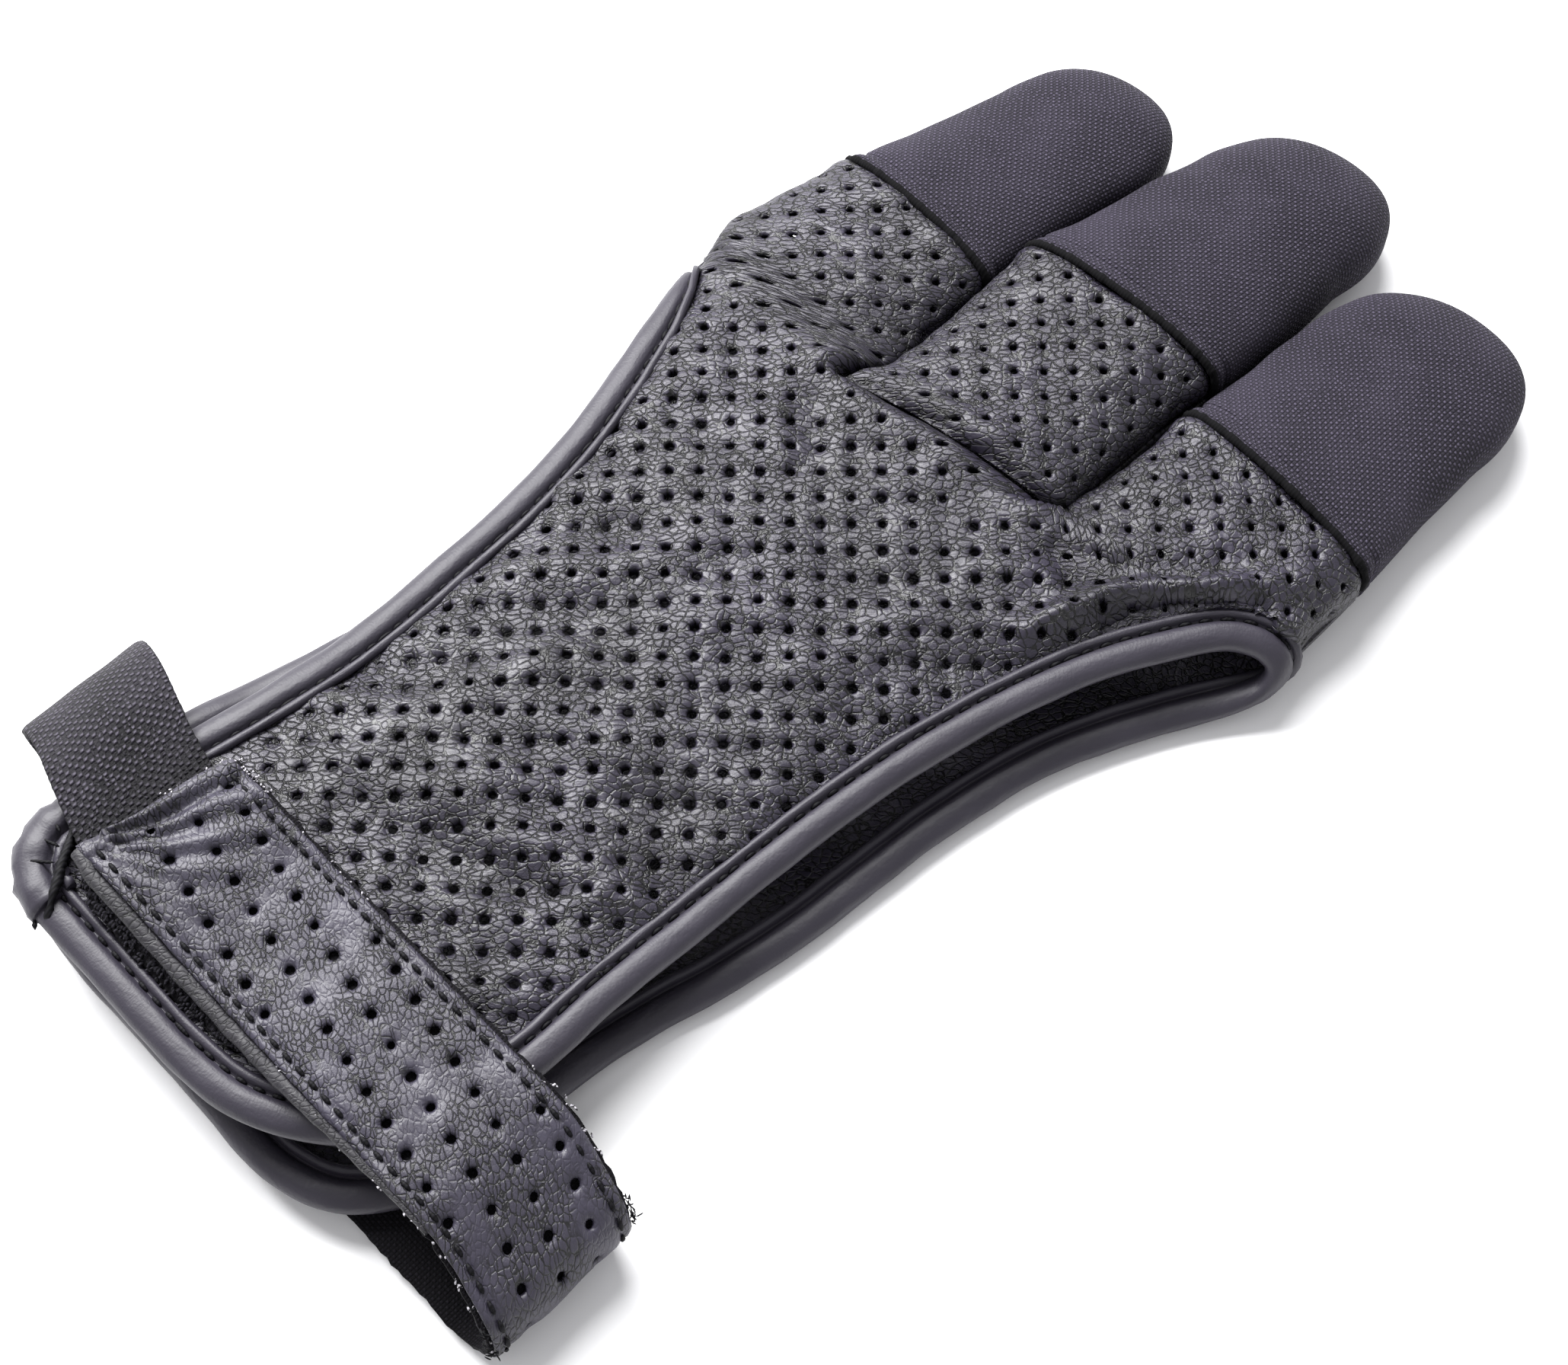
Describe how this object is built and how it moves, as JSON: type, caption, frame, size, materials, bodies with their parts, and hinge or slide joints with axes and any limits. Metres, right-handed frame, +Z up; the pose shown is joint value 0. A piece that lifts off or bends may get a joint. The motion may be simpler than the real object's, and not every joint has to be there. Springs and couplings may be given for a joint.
{
  "type": "archery glove",
  "caption": "Shooting glove of thin perforated leather with woven fingertips, bound edges and a wrist strap, lying palm down.",
  "frame": {"origin": "middle of the underside, on the surface it lies on", "axes": "+Y from the wrist to the fingertips, +X towards the little finger's side, +Z up out of the back of the hand"},
  "size_m": [0.111, 0.2112, 0.0188],
  "materials": {
    "leather": "soft matt grain, perforated",
    "binding": "smooth satin, rolled edge",
    "nylon": "matt fine weave",
    "tape": "matt brushed loop",
    "elastic": "matt coarse weave"
  },
  "bodies": {
    "root": {"back_panel": "leather", "middle_finger_back": "leather", "palm_panel": "leather", "index_fingertip": "nylon", "middle_fingertip": "nylon", "ring_fingertip": "nylon", "thumb_side_binding": "binding", "little_side_binding": "binding", "corner_tab": "binding", "wrist_strap": "leather", "strap_lining": "tape", "elastic_loop": "elastic"}
  },
  "joints": []
}
